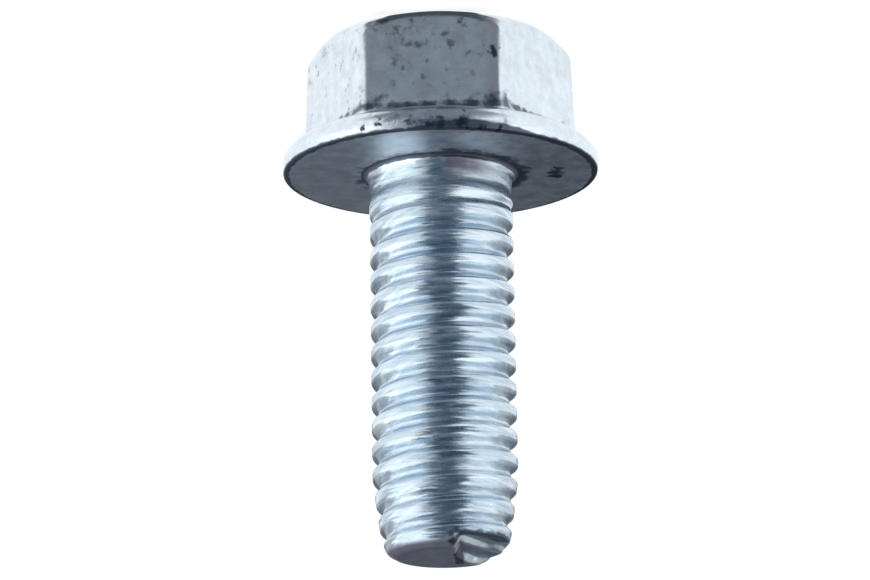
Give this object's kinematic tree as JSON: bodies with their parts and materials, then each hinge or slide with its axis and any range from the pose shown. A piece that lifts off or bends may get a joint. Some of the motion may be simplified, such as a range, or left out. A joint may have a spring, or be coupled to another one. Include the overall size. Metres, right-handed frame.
{
  "type": "hex flange thread-forming screw",
  "caption": "Hexagon head with a plain washer flange and a metric thread-forming shank with a tapered lead and blunt point.",
  "frame": {"origin": "centre of the head's flat top face, which the screw stands on", "axes": "+Z along the screw's axis from the head to the point; -Y faces one flat of the hexagon"},
  "size_m": [0.0128, 0.0128, 0.0213],
  "materials": {
    "zinc_plate": "bright bluish zinc plating, slightly worn and speckled"
  },
  "bodies": {
    "root": {"screw": "zinc_plate"}
  },
  "joints": []
}
